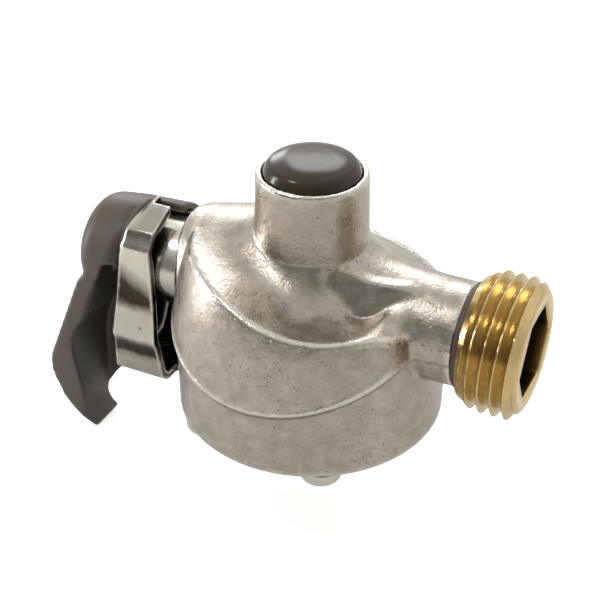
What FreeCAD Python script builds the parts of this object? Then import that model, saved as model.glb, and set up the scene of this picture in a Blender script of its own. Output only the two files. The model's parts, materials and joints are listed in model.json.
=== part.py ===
"""Clip-on gas cylinder tap adapter, in millimetres.

Origin: centre of the valve socket at the bottom of the skirt. +Z runs up the chimney,
+X runs out of the threaded outlet, and the lever hangs at -X.
"""
import FreeCAD
import Part
import math
import os
from FreeCAD import Vector

# Driving sizes of the skirt and its valve socket
skirt_r = 21.6
skirt_edge = 0.7
socket_r = 13.75
socket_depth = 6.0
roof_r = 14.3
roof_z = 8.5
axis_z = 19.7
fixed_gap = 0.02
running_gap = 0.05

# Shoulder wall, front and rear, whose top line falls from the lever side to the outlet side
shoulder_step = 0.45
shoulder_mid_z = 21.5
shoulder_mid_inset = 0.3
shoulder_top_z = 30.6
shoulder_top_inset = 4.0
parting_z = 21.4
parting_slope = 0.467
parting_tilt = 0.066
shoulder_top = ((-26.0, 29.6), (-13.5, 29.3), (-11.0, 28.9), (-6.4, 27.9), (-1.5, 26.4), (3.2, 25.2),
                (7.3, 24.5), (10.6, 24.2), (14.5, 24.1), (16.7, 23.6), (18.2, 22.8), (26.0, 15.0))
rear_top = ((-26.0, 26.6), (-19.0, 26.3), (-15.0, 25.0), (-8.0, 22.9), (0.0, 20.8), (8.0, 19.9), (26.0, 19.4))

# Roof between the chimney and the shoulders
roof_edge_z = 18.2
roof_hollow_r = 11.4
roof_hollow_z = 26.6
roof_bend_r = 18.6
roof_bend_z = 21.6

# Chimney and the cap that rides in it
chimney_top_r = 8.57
chimney_foot_r = 8.85
chimney_top_z = 41.6
chimney_foot_z = 30.0
chimney_bore_r = 7.55
spring_seat_z = 29.0
guide_low_z = 24.0
chamber_r = 5.2
chamber_low_z = 12.5
cap_gap = 0.08
cap_low_z = 39.4
cap_skirt_top_z = 41.5
cap_dome_rise = 2.0

# Left boss, gland and spindle
left_boss_end_x = 0.4 - skirt_r
left_boss_end_r = 9.9
left_boss_foot_x = -8.0
left_boss_foot_r = 12.9
gland_end_x = left_boss_end_x - 6.3
gland_flange_r = 7.4
gland_seat_x = left_boss_end_x + 1.2
gland_thread_r = 6.0
gland_inner_x = gland_seat_x + 7.4
gland_seal_t = 0.6
spindle_r = 3.0
spindle_collar_r = 4.4
spindle_collar_t = 1.4
spindle_inner_x = -3.2
square_start_x = gland_end_x - 1.2
square_end_x = square_start_x - 5.9
square_size = 5.0
eccentric_r = 2.12
eccentric_pin_r = 0.75
eccentric_start_deg = 135.0
eccentric_tip_x = -0.9

# Outlet boss, web and brass nipple
outlet_boss_end_x = skirt_r + 4.5
outlet_boss_r = 8.15
web_root_x = 2.0
web_tip_x = outlet_boss_end_x - 4.1
web_root_z = 33.0
web_tip_z = 28.4
web_lean_x = 0.235
web_lean_y = 0.877
web_lean_z = 0.417
web_touch_x = 11.8
web_touch_y = 8.25
web_touch_z = 22.1
hull_root_r = 14.5
hull_near_x = 7.3
hull_near_r = 11.0
hull_mid_x = 11.0
hull_mid_r = 9.3
hull_far_x = 16.0
hull_far_r = 8.5
passage_r = 4.0
nipple_shank_r = 6.5
nipple_shank_x = outlet_boss_end_x - 11.9
washer_t = 1.1
washer_r = 8.35
thread_crest_r = 10.9
thread_root_r = 9.75
thread_pitch = 1.96
thread_crests = 4
thread_first_x = outlet_boss_end_x + 3.0
thread_land = 0.5
thread_flank = 0.6
nipple_face_x = outlet_boss_end_x + 10.4
nipple_face_r = 9.15
hex_flats = 13.0
hex_depth = 6.5

# Stamped bracket
sheet_t = 1.5
bracket_plate_x = gland_end_x - 3.4
bracket_plate_lean = 0.15
bracket_rim_x = gland_end_x + 3.4
bracket_side = ((0.0, 30.7), (2.6, 30.1), (7.1, 28.1), (9.0, 25.5), (9.0, 14.8), (9.4, 8.2), (8.7, 6.4),
                (7.5, 0.2), (5.9, -1.3), (0.0, -1.8))
bracket_low_z = -1.8
bracket_open_y = 1.3
bracket_window_x = gland_end_x + 0.2
bracket_window_y = -1.5
bracket_bend = 0.7
toe_end_x = -skirt_r - 0.6
toe_top_z = 2.6

# Moulded lever
hub_end_x = bracket_plate_x - 8.1
hub_end_r = 8.4
hub_edge = 3.2
hub_core_r = 4.6
lever_seat_x = hub_end_x + 2.8
lever_washer_t = 0.55
shroud_start_x = hub_end_x + 7.0
shroud_start_r = 9.2
shroud_end_x = bracket_rim_x + 0.7
shroud_end_r = 9.55
shroud_bore_r = 8.3
shroud_low_z = 6.0
blade_half_top = 8.6
blade_half_tip = 3.7
knee_x = hub_end_x - 9.9
knee_z = -5.2
tip_x = hub_end_x - 3.0
tip_z = -19.5
blade_rise_x = 8.9
blade_rise_z = 11.7
blade_root_x = 12.2
blade_root_z = 18.5
blade_crest_x = 15.7
blade_crest_z = 26.1

# Stop lug on the casting and the two ribs in the lever that meet it
lug_r_in = 7.75
lug_r_out = 8.2
lug_end_x = gland_end_x + 1.2
lug_deg = 58.0
lug_span_deg = 15.0
rib_span_deg = 7.0
turn_deg = 90.0
stop_play_deg = 0.4

# Plate, screws and lock
plate_t = 1.5
plate_r = skirt_r - 1.2
plate_recess_gap = 0.05
lock_t = 1.5
lock_gap = 0.1
lock_pocket_r = skirt_r - 1.85
lock_r = lock_pocket_r - 1.2
lock_shift = 2.0
tongue_half_w = 2.5
tongue_end_x = toe_end_x + 0.45
screw_circle_r = (plate_r + socket_r) / 2 + 0.2
screw_angles = (60.0, -60.0, 135.0, -135.0)
screw_r = 1.25
screw_head_r = 2.9
screw_head_h = 1.75
screw_depth = 8.0
screw_slot_gap = 0.3

# Nozzle, seals, springs
nozzle_low_z = 6.9
nozzle_flange_r = 7.5
nozzle_bore_r = 1.9
nozzle_seal_t = 0.65
nozzle_seal_r = 7.0
nozzle_seal_hole_r = 3.0
push_pin_r = 1.2
push_pin_low_z = 6.5
push_pin_grip = 3.0
stem_low_z = 16.0
stem_top_z = 40.6
stem_neck_r = 2.0
oring_wire_r = 0.6
oring_mean_r = spindle_r + running_gap - oring_wire_r
oring_floor_r = oring_mean_r - oring_wire_r
spring_wire_r = 0.45
spring_mean_r = 4.6
spring_turns = 5
lock_spring_wire_r = 0.16
lock_spring_mean_r = 0.52
lock_spring_turns = 8
lock_spring_y = 6.0
lock_spring_len = 3.4

ORIGIN = Vector(0, 0, 0)
UP = Vector(0, 0, 1)
OUT = Vector(1, 0, 0)
SIDE = Vector(0, 1, 0)
REACH = 60.0


def tube_z(r, z0, z1, x=0.0, y=0.0):
    return Part.makeCylinder(r, z1 - z0, Vector(x, y, z0), UP)


def tube_x(r, x0, x1, y=0.0, z=axis_z):
    return Part.makeCylinder(r, x1 - x0, Vector(x0, y, z), OUT)


def block(x0, x1, y0, y1, z0, z1):
    return Part.makeBox(x1 - x0, y1 - y0, z1 - z0, Vector(x0, y0, z0))


def spin_x(profile):
    """Turn a closed (x, radius) outline about the lever's axis."""
    points = [Vector(x, 0, axis_z + r) for x, r in profile]
    face = Part.Face(Part.makePolygon(points + points[:1]))
    return face.revolve(Vector(0, 0, axis_z), OUT, 360)


def spin_z(edges):
    """Turn a closed outline in the XZ plane about the chimney's axis."""
    return Part.Face(Part.Wire(edges)).revolve(ORIGIN, UP, 360)


def polar(r, deg, x):
    """A point at an angle from +Y towards +Z about the lever's axis."""
    a = math.radians(deg)
    return Vector(x, r * math.cos(a), axis_z + r * math.sin(a))


def sector_x(r0, r1, deg0, deg1, x0, x1):
    """A ring segment about the lever's axis, from one angle to another."""
    corners = [polar(r0, deg0, x0), polar(r0, deg0, x1), polar(r1, deg0, x1), polar(r1, deg0, x0)]
    face = Part.Face(Part.makePolygon(corners + corners[:1]))
    return face.revolve(Vector(0, 0, axis_z), OUT, deg1 - deg0)


def torus_x(r, wire_r, x):
    return Part.makeTorus(r, wire_r, Vector(x, 0, axis_z), OUT)


def torus_z(r, wire_r, z):
    return Part.makeTorus(r, wire_r, Vector(0, 0, z), UP)


def coil(mean_r, wire_r, length, turns):
    """A round-wire helix standing on the origin along +Z."""
    pitch = (length - 2 * wire_r) / turns
    path = Part.makeHelix(pitch, length - 2 * wire_r, mean_r)
    ring = Part.Wire(Part.makeCircle(wire_r, Vector(mean_r, 0, 0), SIDE))
    body = Part.Wire(path).makePipeShell([ring], True, True)
    body.translate(Vector(0, 0, wire_r))
    return body


def shoulder():
    """Barrel-shaped wall above the two parting slopes, cut by the falling top."""
    low_r = skirt_r + shoulder_step
    low_z = parting_z - low_r * math.hypot(parting_slope, parting_tilt)
    low = Vector(low_r, 0, low_z)
    middle = Vector(low_r - shoulder_mid_inset - shoulder_step, 0, shoulder_mid_z)
    high = Vector(low_r - shoulder_top_inset, 0, shoulder_top_z)
    axis_low = Vector(0, 0, low_z)
    axis_high = Vector(0, 0, shoulder_top_z)
    wall = spin_z([Part.Arc(low, middle, high).toShape(), Part.makeLine(high, axis_high),
                   Part.makeLine(axis_high, axis_low), Part.makeLine(axis_low, low)])
    side = REACH / 2
    ridge_z = parting_z - parting_tilt * side
    foot_z = ridge_z - parting_slope * side
    under = [Vector(-side, 0, ridge_z), Vector(-side, -side, foot_z), Vector(-side, -side, -side),
             Vector(-side, side, -side), Vector(-side, side, foot_z)]
    below = Part.Face(Part.makePolygon(under + under[:1])).extrude(Vector(REACH, 0, REACH * parting_tilt))
    return wall.cut(below).cut(above_line(shoulder_top, -side, 0)).cut(above_line(rear_top, 0, side))


def above_line(line, y0, y1):
    """All the space above a smooth (x, z) line, between two planes across Y."""
    curve = Part.BSplineCurve()
    curve.interpolate([Vector(x, y0, z) for x, z in line])
    lift = Vector(0, 0, REACH / 2)
    p0 = curve.StartPoint
    p1 = curve.EndPoint
    frame = [curve.toShape(), Part.makeLine(p1, p1 + lift), Part.makeLine(p1 + lift, p0 + lift),
             Part.makeLine(p0 + lift, p0)]
    return Part.Face(Part.Wire(frame)).extrude(Vector(0, y1 - y0, 0))


def chimney():
    """Tapered tube with a hollow flare at its foot that runs out into the roof."""
    tube = Part.makeCone(chimney_foot_r, chimney_top_r, chimney_top_z - chimney_foot_z,
                         Vector(0, 0, chimney_foot_z), UP)
    foot = Vector(chimney_foot_r, 0, chimney_foot_z)
    hollow = Vector(roof_hollow_r, 0, roof_hollow_z)
    bend = Vector(roof_bend_r, 0, roof_bend_z)
    edge = Vector(skirt_r, 0, roof_edge_z)
    floor = Vector(skirt_r, 0, roof_edge_z - 1)
    axis_low = Vector(0, 0, roof_edge_z - 1)
    axis_high = Vector(0, 0, chimney_foot_z)
    arc = Part.Arc(foot, hollow, bend).toShape()
    flare = spin_z([arc, Part.makeLine(bend, edge), Part.makeLine(edge, floor), Part.makeLine(floor, axis_low),
                    Part.makeLine(axis_low, axis_high), Part.makeLine(axis_high, foot)])
    return tube.fuse(flare)


def left_boss():
    """Tapered boss for the gland, its end rounded like the skirt."""
    cone = spin_x([(left_boss_end_x - 1, 0), (left_boss_end_x - 1, left_boss_end_r),
                   (left_boss_foot_x, left_boss_foot_r), (0, left_boss_foot_r), (0, 0)])
    boss = cone.common(tube_z(-left_boss_end_x, 0, chimney_top_z))
    rim = [e for e in boss.Edges if e.BoundBox.XMax < left_boss_foot_x - 1]
    return boss.makeFillet(0.8, rim)


def web():
    """Wedge between the chimney and the outlet boss, under a hollow top line."""
    offset = web_lean_x * web_touch_x + web_lean_y * web_touch_y + web_lean_z * web_touch_z

    def section(x, low, high):
        half_low = (offset - web_lean_x * x - web_lean_z * low) / web_lean_y
        half_high = (offset - web_lean_x * x - web_lean_z * high) / web_lean_y
        corners = [Vector(x, -half_low, low), Vector(x, -half_high, high),
                   Vector(x, half_high, high), Vector(x, half_low, low)]
        return Part.makePolygon(corners + corners[:1])

    root = section(web_root_x, axis_z, web_root_z)
    tip = section(web_tip_x, axis_z, web_tip_z)
    wedge = Part.makeLoft([root, tip], True, True)
    line = Part.BSplineCurve()
    reach = [(web_root_x, hull_root_r), (hull_near_x, hull_near_r), (hull_mid_x, hull_mid_r),
             (hull_far_x, hull_far_r), (web_tip_x + 1, outlet_boss_r)]
    line.interpolate([Vector(x, 0, axis_z + r) for x, r in reach])
    a = line.StartPoint
    b = line.EndPoint
    low_a = Vector(a.x, 0, axis_z)
    low_b = Vector(b.x, 0, axis_z)
    edges = [line.toShape(), Part.makeLine(b, low_b), Part.makeLine(low_b, low_a), Part.makeLine(low_a, a)]
    hull = Part.Face(Part.Wire(edges)).revolve(Vector(0, 0, axis_z), OUT, 360)
    return wedge.common(hull)


def stop_lug():
    return sector_x(lug_r_in, lug_r_out, lug_deg, lug_deg + lug_span_deg, lug_end_x, left_boss_end_x + 1)


def screw_places():
    for deg in screw_angles:
        a = math.radians(deg)
        yield screw_circle_r * math.cos(a), screw_circle_r * math.sin(a)


def body_casting():
    skirt = tube_z(skirt_r, 0, roof_edge_z)
    low_edges = [e for e in skirt.Edges if abs(e.BoundBox.ZMax) < 1e-6]
    skirt = skirt.makeFillet(skirt_edge, low_edges)
    right = tube_x(outlet_boss_r, 0, outlet_boss_end_x)
    body = skirt.multiFuse([shoulder(), left_boss(), right, web(), chimney()])
    lock_top = plate_t + lock_t + 2 * lock_gap
    cuts = [
        tube_z(plate_r + plate_recess_gap, 0, plate_t),
        tube_z(lock_pocket_r, plate_t, lock_top),
        tube_z(socket_r, lock_top, socket_depth),
        tube_z(roof_r, socket_depth, roof_z),
        tube_z(nozzle_thread_r() + fixed_gap, roof_z, chamber_low_z),
        tube_z(chamber_r, chamber_low_z, guide_low_z),
        tube_z(spindle_r + running_gap, guide_low_z, spring_seat_z),
        tube_z(chimney_bore_r, spring_seat_z, chimney_top_z),
        tube_x(gland_flange_r + 0.1, -skirt_r - 1, gland_seat_x),
        tube_x(gland_thread_r + fixed_gap, gland_seat_x, gland_inner_x),
        tube_x(spindle_collar_r + 0.2, gland_inner_x, -chamber_r + 1),
        tube_x(passage_r, chamber_r - 1.5, nipple_shank_x),
        tube_x(nipple_shank_r + fixed_gap, nipple_shank_x, outlet_boss_end_x),
        block(-skirt_r - 2, -lock_r + 2, -tongue_half_w - 0.15, tongue_half_w + 0.15, plate_t, lock_top),
    ]
    cuts += [tube_z(screw_r + fixed_gap, 0, screw_depth + 0.3, x, y) for x, y in screw_places()]
    for tool in cuts:
        body = body.cut(tool)
    return body.fuse(stop_lug())


def nozzle_thread_r():
    return chamber_r - 0.05


def plunger_cap():
    """Hollow-backed cap with a spherical dome."""
    r = chimney_bore_r - cap_gap
    dome_r = (r * r + cap_dome_rise * cap_dome_rise) / (2 * cap_dome_rise)
    skirt = tube_z(r, cap_low_z, cap_skirt_top_z)
    centre = Vector(0, 0, cap_skirt_top_z + cap_dome_rise - dome_r)
    dome = Part.makeSphere(dome_r, centre).common(tube_z(r, cap_skirt_top_z, cap_skirt_top_z + 5))
    cap = skirt.fuse(dome).removeSplitter()
    brow = [e for e in cap.Edges if abs(e.BoundBox.ZMin - cap_skirt_top_z) < 0.01 and e.BoundBox.ZLength < 0.01]
    cap = cap.makeFillet(0.35, brow)
    return cap.cut(tube_z(stem_neck_r + fixed_gap, cap_low_z, stem_top_z))


def plunger_stem():
    """Stem with a cross slot for the eccentric pin and a groove for its seal."""
    stem = tube_z(spindle_r, stem_low_z, cap_low_z).fuse(tube_z(stem_neck_r, cap_low_z, stem_top_z))
    a = math.radians(eccentric_start_deg)
    pin_y = eccentric_r * math.cos(a)
    pin_z = axis_z + eccentric_r * math.sin(a)
    room = eccentric_pin_r + 0.1
    slot = block(-spindle_r - 1, eccentric_tip_x + 0.2, -spindle_r - 1, pin_y + room,
                 pin_z - room, pin_z + room)
    groove_z = spring_seat_z - 1.3
    groove = tube_z(spindle_r + 1, groove_z - oring_wire_r, groove_z + oring_wire_r)
    groove = groove.cut(tube_z(oring_floor_r, groove_z - 1, groove_z + 1))
    pin_hole = tube_z(push_pin_r + fixed_gap, stem_low_z, stem_low_z + push_pin_grip)
    return stem.cut(slot).cut(groove).cut(pin_hole).removeSplitter()


def plunger_oring():
    return torus_z(oring_mean_r, oring_wire_r - fixed_gap, spring_seat_z - 1.3)


def plunger_spring():
    body = coil(spring_mean_r, spring_wire_r, cap_low_z - spring_seat_z, spring_turns)
    body.translate(Vector(0, 0, spring_seat_z))
    return body


def push_pin():
    pin = tube_z(push_pin_r, push_pin_low_z, stem_low_z + push_pin_grip)
    return pin.makeChamfer(0.3, [e for e in pin.Edges if abs(e.BoundBox.ZMax - push_pin_low_z) < 1e-6])


def inlet_nozzle():
    flange = tube_z(nozzle_flange_r, nozzle_low_z, roof_z)
    thread = tube_z(nozzle_thread_r(), roof_z, chamber_low_z)
    bore = tube_z(nozzle_bore_r, nozzle_low_z, chamber_low_z)
    cone = Part.makeCone(nozzle_bore_r, nozzle_bore_r + 1.2, 1.2, Vector(0, 0, chamber_low_z - 1.2), UP)
    return flange.fuse(thread).cut(bore).cut(cone).removeSplitter()


def nozzle_seal():
    low = nozzle_low_z - nozzle_seal_t
    seal = tube_z(nozzle_seal_r, low, nozzle_low_z).cut(tube_z(nozzle_seal_hole_r, low, nozzle_low_z))
    return seal.makeFillet(0.2, [e for e in seal.Edges if abs(e.BoundBox.ZMax - low) < 1e-6])


def spindle():
    """Turned spindle with collar, square end, seal grooves and an eccentric pin."""
    bar = tube_x(spindle_r, square_start_x, spindle_inner_x)
    collar = tube_x(spindle_collar_r, gland_inner_x + 0.1, gland_inner_x + 0.1 + spindle_collar_t)
    half = square_size / 2
    square = block(square_end_x, square_start_x, -half, half, axis_z - half, axis_z + half)
    square = square.common(tube_x(spindle_r, square_end_x, square_start_x))
    a = math.radians(eccentric_start_deg)
    pin = tube_x(eccentric_pin_r, spindle_inner_x, eccentric_tip_x, eccentric_r * math.cos(a),
                 axis_z + eccentric_r * math.sin(a))
    body = bar.multiFuse([collar, square, pin])
    for x in spindle_groove_places():
        groove = tube_x(spindle_r + 1, x - oring_wire_r, x + oring_wire_r)
        body = body.cut(groove.cut(tube_x(oring_floor_r, x - 1, x + 1)))
    hole = tube_x(1.3, square_end_x, square_end_x + 6)
    return body.cut(hole).removeSplitter()


def spindle_groove_places():
    return (gland_inner_x - 4.0, gland_seat_x - 3.0)


def spindle_orings():
    rings = [torus_x(oring_mean_r, oring_wire_r - fixed_gap, x) for x in spindle_groove_places()]
    return Part.makeCompound(rings)


def spindle_gland():
    """Bush screwed into the casting: bright flange outside, thread and bore inside."""
    flange = tube_x(gland_flange_r, gland_end_x, gland_seat_x - gland_seal_t)
    rim = [e for e in flange.Edges if abs(e.BoundBox.XMax - gland_end_x) < 1e-6]
    flange = flange.makeFillet(0.6, rim)
    thread = tube_x(gland_thread_r, gland_seat_x - gland_seal_t, gland_inner_x)
    bore = tube_x(spindle_r + running_gap, gland_end_x, gland_inner_x)
    return flange.fuse(thread).cut(bore).removeSplitter()


def gland_seal():
    x0 = gland_seat_x - gland_seal_t
    ring = tube_x(gland_flange_r - 0.1, x0, gland_seat_x)
    return ring.cut(tube_x(gland_thread_r + fixed_gap, x0, gland_seat_x))


def bracket_outline(inset, x0, x1):
    """The stamping's outline as a solid: faceted crown, sides creased above the foot."""
    right = [Vector(x0, y, z) for y, z in bracket_side]
    left = [Vector(x0, -y, z) for y, z in reversed(bracket_side[1:-1])]
    wire = Part.makePolygon(right + left + right[:1])
    if inset:
        wire = wire.makeOffset2D(-inset, 2)
    return Part.Face(wire).extrude(Vector(x1 - x0, 0, 0))


def plate_x_at(z):
    return bracket_plate_x + bracket_plate_lean * (z - axis_z)


def beyond_plate(inset):
    """All the space on the casting's side of the leaning plate."""
    low, high = -REACH, REACH
    corners = [Vector(plate_x_at(low) + inset, -REACH, low), Vector(REACH, -REACH, low),
               Vector(REACH, -REACH, high), Vector(plate_x_at(high) + inset, -REACH, high)]
    return Part.Face(Part.makePolygon(corners + corners[:1])).extrude(Vector(0, 2 * REACH, 0))


def shroud_bore(gap):
    """The space inside the lever's rear shroud: half round above, straight below."""
    r = shroud_bore_r - gap
    low = bracket_low_z - 1
    return tube_x(r, hub_end_x, REACH).fuse(block(hub_end_x, REACH, 0, r, low, axis_z))


def lever_bracket():
    """Half-open cup of sheet steel on the lever's square, its leg hanging to the lock tongue."""
    cup = bracket_outline(0.0, hub_end_x, bracket_rim_x).common(beyond_plate(0.0))
    back_edges = [e for e in cup.Edges if all(abs(v.X - plate_x_at(v.Z)) < 1e-5 for v in e.Vertexes)]
    cup = cup.makeChamfer(bracket_bend, back_edges)
    cup = cup.cut(bracket_outline(sheet_t, hub_end_x, REACH).common(beyond_plate(sheet_t)))
    rear = block(hub_end_x, REACH, bracket_open_y, REACH, -REACH, REACH)
    rear_rim = rear.common(beyond_plate(sheet_t))
    rear_plate = rear.cut(shroud_bore(running_gap))
    window = block(bracket_window_x, REACH, bracket_window_y, REACH, axis_z, REACH)
    half = (square_size + fixed_gap) / 2
    square = block(hub_end_x, gland_end_x, -half, half, axis_z - half, axis_z + half)
    toe = block(plate_x_at(0.0) + sheet_t, toe_end_x, -tongue_half_w, tongue_half_w, bracket_low_z, toe_top_z)
    toe = toe.common(bracket_outline(0.0, hub_end_x, toe_end_x))
    toe = toe.cut(block(hub_end_x, toe_end_x - sheet_t, -REACH, REACH, bracket_low_z + sheet_t, toe_top_z))
    return cup.cut(rear_rim).cut(rear_plate).cut(window).cut(square).fuse(toe).removeSplitter()


def lever_handle():
    """Tapered hub, rear shroud and hanging blade of one moulding."""
    hub = Part.makeCone(hub_end_r, shroud_start_r, shroud_start_x - hub_end_x,
                        Vector(hub_end_x, 0, axis_z), OUT)
    hub = hub.makeFillet(hub_edge, [e for e in hub.Edges if abs(e.BoundBox.XMax - hub_end_x) < 1e-6])
    shroud = Part.makeCone(shroud_start_r, shroud_end_r, shroud_end_x - shroud_start_x,
                           Vector(shroud_start_x, 0, axis_z), OUT)
    skirt = block(shroud_start_x, shroud_end_x, 0, shroud_start_r, shroud_low_z, axis_z)
    front = block(hub_end_x, REACH, -REACH, bracket_open_y + 0.2, -REACH, REACH)
    hollow = front.fuse(shroud_bore(0.0)).common(beyond_plate(-fixed_gap))
    body = hub.multiFuse([shroud, skirt]).cut(hollow).cut(hub_undercut().common(front))
    blade = blade_side().common(blade_front())
    body = body.fuse(blade).removeSplitter()
    half = (square_size + fixed_gap) / 2
    body = body.cut(block(square_end_x - 0.3, gland_end_x, -half, half, axis_z - half, axis_z + half))
    body = body.cut(tube_x(1.7, hub_end_x, square_end_x))
    body = body.cut(tube_x(3.4, hub_end_x - 1, lever_seat_x))
    return body.multiFuse(stop_ribs()).removeSplitter()


def hub_undercut():
    """Room behind the blade under the hub, with the core round the spindle left in."""
    y = -REACH
    rise = Vector(knee_x + blade_rise_x, y, knee_z + blade_rise_z)
    root = Vector(knee_x + blade_root_x, y, knee_z + blade_root_z)
    crest = Vector(knee_x + blade_crest_x, y, knee_z + blade_crest_z)
    corners = [rise, root, crest, Vector(REACH, y, crest.z), Vector(REACH, y, rise.z)]
    room = Part.Face(Part.makePolygon(corners + corners[:1])).extrude(Vector(0, 2 * REACH, 0))
    return room.cut(tube_x(hub_core_r, hub_end_x, REACH))


def stop_ribs():
    """Two ribs inside the shroud, one for each end of the quarter turn."""
    open_end = lug_deg - turn_deg - stop_play_deg
    rest_end = lug_deg + lug_span_deg + stop_play_deg
    x0 = gland_end_x - 0.3
    corner_r = shroud_bore_r / math.cos(math.radians(open_end - rib_span_deg)) + 0.15
    low = sector_x(lug_r_in, corner_r, open_end - rib_span_deg, open_end, x0, shroud_end_x)
    high = sector_x(lug_r_in, shroud_bore_r + 0.3, rest_end, rest_end + rib_span_deg - 1.5, x0, shroud_end_x)
    return [low, high]


def blade_side():
    """Side outline of the blade, pushed through its width."""
    y = -blade_half_top
    outer_top = Vector(hub_end_x, y, axis_z - 3.5)
    knee_in = Vector(knee_x + 0.75, y, knee_z + 2.2)
    knee_mid = Vector(knee_x, y, knee_z - 1.6)
    knee_out = Vector(knee_x + 0.9, y, knee_z - 6.2)
    tip_mid = Vector(knee_x + 3.2, y, knee_z - 11.6)
    tip_out = Vector(tip_x + 0.3, y, tip_z)
    tip_in = Vector(tip_x + 0.8, y, tip_z + 0.9)
    waist = Vector(tip_x - 1.4, y, tip_z + 2.8)
    neck = Vector(tip_x - 1.3, y, tip_z + 5.2)
    belly = Vector(knee_x + 6.0, y, knee_z - 3.3)
    middle = Vector(knee_x + 5.7, y, knee_z + 3.2)
    rise = Vector(knee_x + blade_rise_x, y, knee_z + blade_rise_z)
    root = Vector(knee_x + blade_root_x, y, knee_z + blade_root_z)
    crest = Vector(knee_x + blade_crest_x, y, knee_z + blade_crest_z)
    hub_out = Vector(hub_end_x + hub_edge, y, axis_z)
    outer_knee = Part.Arc(knee_in, knee_mid, knee_out).toShape()
    outer_tip = Part.Arc(knee_out, tip_mid, tip_out).toShape()
    inner = Part.BSplineCurve()
    inner.interpolate([tip_in, waist, neck, belly, middle, rise])
    edges = [Part.makeLine(hub_out, outer_top), Part.makeLine(outer_top, knee_in), outer_knee, outer_tip,
             Part.makeLine(tip_out, tip_in), inner.toShape(), Part.makeLine(rise, root),
             Part.makeLine(root, crest), Part.makeLine(crest, hub_out)]
    return Part.Face(Part.Wire(edges)).extrude(Vector(0, 2 * blade_half_top, 0))


def blade_front():
    """Front outline of the blade: narrows from the hub to a round tip."""
    x = knee_x - 2
    points = [Vector(x, -blade_half_top, axis_z), Vector(x, -blade_half_top, axis_z - 3.0),
              Vector(x, -blade_half_tip, tip_z - 1), Vector(x, blade_half_tip, tip_z - 1),
              Vector(x, blade_half_top, axis_z - 3.0), Vector(x, blade_half_top, axis_z)]
    return Part.Face(Part.makePolygon(points + points[:1])).extrude(Vector(-knee_x, 0, 0))


def lever_screw():
    """Pan head screw in the end of the spindle."""
    head_x = lever_seat_x - lever_washer_t
    head = tube_x(2.7, head_x - 1.9, head_x)
    head = head.makeFillet(0.8, [e for e in head.Edges if abs(e.BoundBox.XMax - head_x + 1.9) < 1e-6])
    drive = tube_x(1.0, head_x - 1.9, head_x - 0.9)
    return head.fuse(tube_x(1.28, head_x, square_end_x + 5)).cut(drive).removeSplitter()


def lever_washer():
    x0 = lever_seat_x - lever_washer_t
    return tube_x(3.2, x0, lever_seat_x).cut(tube_x(1.45, x0, lever_seat_x))


def outlet_nipple():
    """Brass nipple: the thread's crests as rings, chamfered end, hexagon then round bore."""
    seat_x = outlet_boss_end_x + washer_t
    outline = [(nipple_shank_x, 0), (nipple_shank_x, nipple_shank_r), (seat_x, nipple_shank_r),
               (seat_x, thread_root_r)]
    for k in range(thread_crests):
        crest_x = thread_first_x + k * thread_pitch
        half = thread_land / 2
        outline += [(crest_x - half - thread_flank, thread_root_r), (crest_x - half, thread_crest_r),
                    (crest_x + half, thread_crest_r), (crest_x + half + thread_flank, thread_root_r)]
    outline += [(nipple_face_x - (thread_root_r - nipple_face_r), thread_root_r),
                (nipple_face_x, nipple_face_r), (nipple_face_x, 0)]
    outer = spin_x(outline)
    corner_r = hex_flats / 2 / math.cos(math.radians(30))
    corners = [polar(corner_r, 60 * k, nipple_face_x - hex_depth) for k in range(6)]
    hexagon = Part.Face(Part.makePolygon(corners + corners[:1])).extrude(Vector(hex_depth, 0, 0))
    return outer.cut(tube_x(passage_r, nipple_shank_x, nipple_face_x)).cut(hexagon)


def nipple_washer():
    x1 = outlet_boss_end_x + washer_t
    ring = tube_x(washer_r, outlet_boss_end_x, x1)
    return ring.cut(tube_x(nipple_shank_r + fixed_gap, outlet_boss_end_x, x1))


def retaining_plate():
    plate = tube_z(plate_r, 0, plate_t).cut(tube_z(socket_r, 0, plate_t))
    for x, y in screw_places():
        plate = plate.cut(tube_z(screw_r + 0.15, 0, plate_t, x, y))
    return plate


def cover_screws():
    """Four low pan head screws."""
    screws = []
    for x, y in screw_places():
        head = tube_z(screw_head_r, -screw_head_h, 0, x, y)
        head = head.makeFillet(0.9, [e for e in head.Edges if abs(e.BoundBox.ZMax + screw_head_h) < 1e-6])
        cross = block(x - 1.6, x + 1.6, y - 0.35, y + 0.35, -screw_head_h, -screw_head_h + 0.9)
        cross = cross.fuse(block(x - 0.35, x + 0.35, y - 1.6, y + 1.6, -screw_head_h, -screw_head_h + 0.9))
        screws.append(head.fuse(tube_z(screw_r, 0, screw_depth, x, y)).cut(cross).removeSplitter())
    return Part.makeCompound(screws)


def lock_plate():
    """Sliding plate: round bore, slots that clear the screws, tongue through the skirt."""
    low = plate_t + lock_gap
    high = low + lock_t
    plate = tube_z(lock_r, low, high, lock_shift / 2 + 0.1)
    plate = plate.fuse(block(tongue_end_x, -lock_r + 3, -tongue_half_w, tongue_half_w, low, high))
    plate = plate.cut(tube_z(socket_r, low, high))
    slot_r = screw_r + screw_slot_gap
    for x, y in screw_places():
        slot = tube_z(slot_r, low, high, x, y).fuse(tube_z(slot_r, low, high, x + lock_shift, y))
        plate = plate.cut(slot.fuse(block(x, x + lock_shift, y - slot_r, y + slot_r, low, high)))
    for y in (-lock_spring_y, lock_spring_y):
        notch = block(lock_spring_x(y), lock_r + 5, y - 0.9, y + 0.9, low, high)
        plate = plate.cut(notch)
    return plate.removeSplitter()


def lock_spring_x(y):
    return math.sqrt(lock_pocket_r ** 2 - y * y) - lock_spring_len - 0.35


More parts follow.
